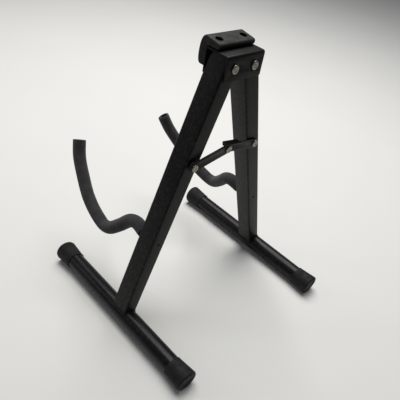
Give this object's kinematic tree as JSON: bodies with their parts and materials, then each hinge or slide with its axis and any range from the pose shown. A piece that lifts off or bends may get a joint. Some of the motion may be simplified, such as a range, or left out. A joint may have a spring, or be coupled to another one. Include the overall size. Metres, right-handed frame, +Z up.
{
  "type": "folding instrument stand",
  "caption": "Low folding A-frame floor stand for a guitar-like body: hinged rectangular legs, round rubber-capped feet, folding brace and foam-covered forward hooks.",
  "frame": {"origin": "on the floor, under the centre of the stand's bounding box", "axes": "+Z up, -Y towards the side that the arms reach to, X across the stand from foot to foot"},
  "size_m": [0.336, 0.3694, 0.395],
  "materials": {
    "frame_black": "satin black powder coat",
    "foot_black": "semi-gloss black powder coat",
    "bracket_black": "satin black powder coat",
    "brace_black": "satin black powder coat",
    "arm_black": "satin black powder coat",
    "foam": "matte closed-cell foam",
    "cap_rubber": "matte moulded rubber",
    "pad_rubber": "matte moulded rubber",
    "rivet_steel": "dull zinc plate",
    "screw_steel": "black oxide",
    "nylon": "black nylon"
  },
  "bodies": {
    "head": {"hinge_bracket": "bracket_black", "bumper_pad": "pad_rubber", "bumper_screw_right": "screw_steel", "bumper_screw_left": "screw_steel", "hinge_rivet_right": "rivet_steel", "hinge_rivet_left": "rivet_steel"},
    "right_leg": {"leg_right": "frame_black", "arm_rod_right": "arm_black", "arm_foam_right": "foam", "hinge_sleeve_right": "nylon", "hinge_washer_right_back": "nylon", "hinge_washer_right_front": "nylon", "foot_tube_right": "foot_black", "foot_cap_right_front": "cap_rubber", "foot_cap_right_back": "cap_rubber", "brace_rivet_right": "rivet_steel", "brace_washer_right": "nylon"},
    "left_leg": {"leg_left": "frame_black", "arm_rod_left": "arm_black", "arm_foam_left": "foam", "hinge_sleeve_left": "nylon", "hinge_washer_left_back": "nylon", "hinge_washer_left_front": "nylon", "foot_tube_left": "foot_black", "foot_cap_left_front": "cap_rubber", "foot_cap_left_back": "cap_rubber"},
    "right_link": {"brace_link_right": "brace_black", "brace_rivet_mid": "rivet_steel", "brace_washer_mid": "nylon"},
    "left_link": {"brace_link_left": "brace_black", "brace_rivet_left": "rivet_steel", "brace_washer_left": "nylon"}
  },
  "joints": [
    {"name": "right_leg_fold", "type": "hinge", "parent": "head", "child": "right_leg", "pos_m": [0.0167, 0.0306, 0.3712], "axis": [0, 1, 0], "range_deg": [0, 20.5]},
    {"name": "left_leg_fold", "type": "hinge", "parent": "head", "child": "left_leg", "pos_m": [-0.0167, 0.0306, 0.3712], "axis": [0, 1, 0], "range_deg": [-20.5, 0]},
    {"name": "right_link_fold", "type": "hinge", "parent": "right_leg", "child": "right_link", "pos_m": [0.05879, 0.0306, 0.25969], "axis": [0, 1, 0], "range_deg": [0, 45]},
    {"name": "left_link_fold", "type": "hinge", "parent": "right_link", "child": "left_link", "pos_m": [0, 0.0306, 0.26909], "axis": [0, 1, 0], "range_deg": [-130, 0]}
  ],
  "couplings": [
    {"joint": "left_leg_fold", "follows": "right_leg_fold", "ratio": -1},
    {"joint": "right_link_fold", "follows": "right_leg_fold", "ratio": 2.1342},
    {"joint": "left_link_fold", "follows": "right_leg_fold", "ratio": -6.2684}
  ]
}
